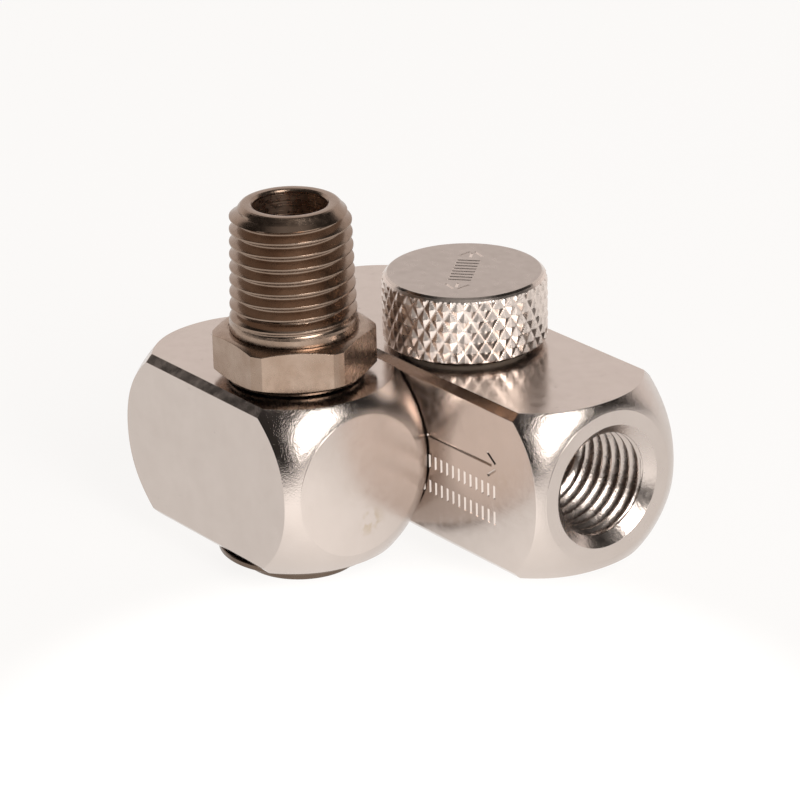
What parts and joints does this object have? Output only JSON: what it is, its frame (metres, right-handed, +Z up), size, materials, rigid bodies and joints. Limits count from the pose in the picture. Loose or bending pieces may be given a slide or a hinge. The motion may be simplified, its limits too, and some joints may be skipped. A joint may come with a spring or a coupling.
{
  "type": "swivel flow control valve",
  "caption": "Swivel air-line fitting of square metal blocks, with a turning male threaded stem, a female threaded port and a knurled knob that sets the flow.",
  "frame": {"origin": "bottom centre of the whole fitting's box, under the end screw's level", "axes": "+X along both blocks towards the threaded port, +Y from the swivel block to the valve body, +Z up along the tool stem"},
  "size_m": [0.0516, 0.039, 0.0413],
  "materials": {
    "nickel_plate": "bright nickel plate over turned bar, fine machining lines",
    "dark_nickel": "brownish dark nickel plate on turned steel",
    "steel": "turned, bright",
    "spring_steel": "phosphated spring steel",
    "brass": "turned, bright",
    "seal_rubber": "matt black nitrile",
    "white_acetal": "natural acetal"
  },
  "bodies": {
    "valve_body": {"valve_body": "nickel_plate", "pivot_spindle": "steel", "pivot_o_ring": "seal_rubber", "pivot_snap_ring": "spring_steel", "pivot_thrust_washer": "white_acetal", "pivot_seat_seal": "seal_rubber"},
    "swivel_block": {"swivel_block": "nickel_plate"},
    "tool_stem": {"tool_stem": "dark_nickel", "stem_upper_washer": "steel", "stem_lower_washer": "dark_nickel", "stem_end_screw": "dark_nickel", "stem_upper_o_ring": "seal_rubber", "stem_lower_o_ring": "seal_rubber", "stem_end_seal": "seal_rubber"},
    "regulator": {"regulator_knob": "nickel_plate", "valve_plug": "brass", "knob_thrust_washer": "white_acetal", "plug_upper_o_ring": "seal_rubber", "plug_lower_o_ring": "seal_rubber", "plug_bottom_washer": "steel", "plug_retaining_ring": "spring_steel"}
  },
  "joints": [
    {"name": "block_swivel", "type": "hinge", "parent": "valve_body", "child": "swivel_block", "pos_m": [-0.01245, 0, 0.0123], "axis": [0, 1, 0], "continuous": true},
    {"name": "stem_swivel", "type": "hinge", "parent": "swivel_block", "child": "tool_stem", "pos_m": [-0.00285, -0.01001, 0.0123], "axis": [0, 0, 1], "continuous": true},
    {"name": "knob_turn", "type": "hinge", "parent": "valve_body", "child": "regulator", "pos_m": [0.0019, 0.00959, 0.0123], "axis": [0, 0, 1], "continuous": true}
  ]
}
